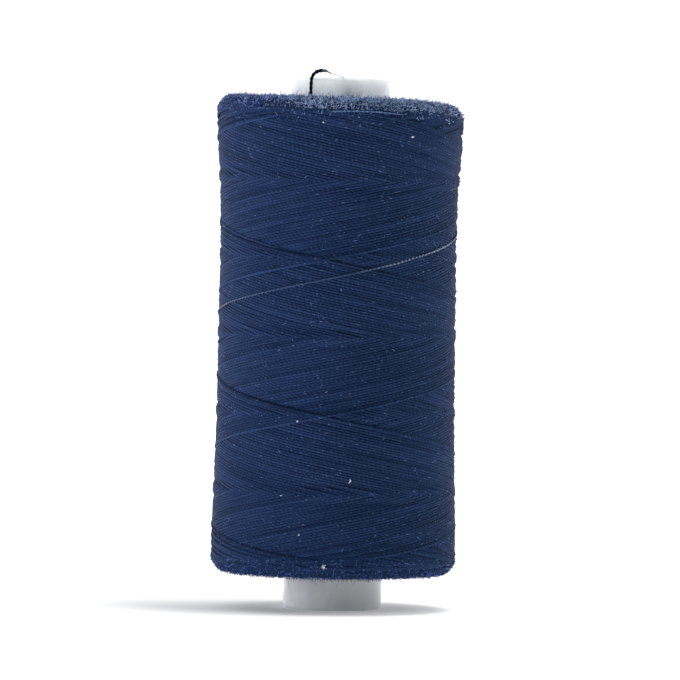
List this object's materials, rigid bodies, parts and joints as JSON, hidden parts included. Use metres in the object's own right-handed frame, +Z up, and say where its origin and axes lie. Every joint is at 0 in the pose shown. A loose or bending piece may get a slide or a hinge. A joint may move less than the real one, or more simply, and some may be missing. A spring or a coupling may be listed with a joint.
{
  "type": "spool of thread",
  "caption": "Parallel-sided spool of navy sewing thread, cross-wound on a pale plastic tube that drops over a spool pin and stands on its end.",
  "frame": {"origin": "centre of the tube's lower end, on the surface that the spool stands on", "axes": "+Z up along the tube's axis; -Y is the front, with the thread tail at the front left of the upper rim"},
  "size_m": [0.0336, 0.0336, 0.0739],
  "materials": {
    "tube_plastic": "satin, slightly translucent moulded polypropylene",
    "thread": "navy spun polyester thread with a soft fuzz and a low sheen"
  },
  "bodies": {
    "root": {"core_tube": "tube_plastic", "thread_package": "thread", "outer_end": "thread", "thread_tail": "thread"}
  },
  "joints": []
}
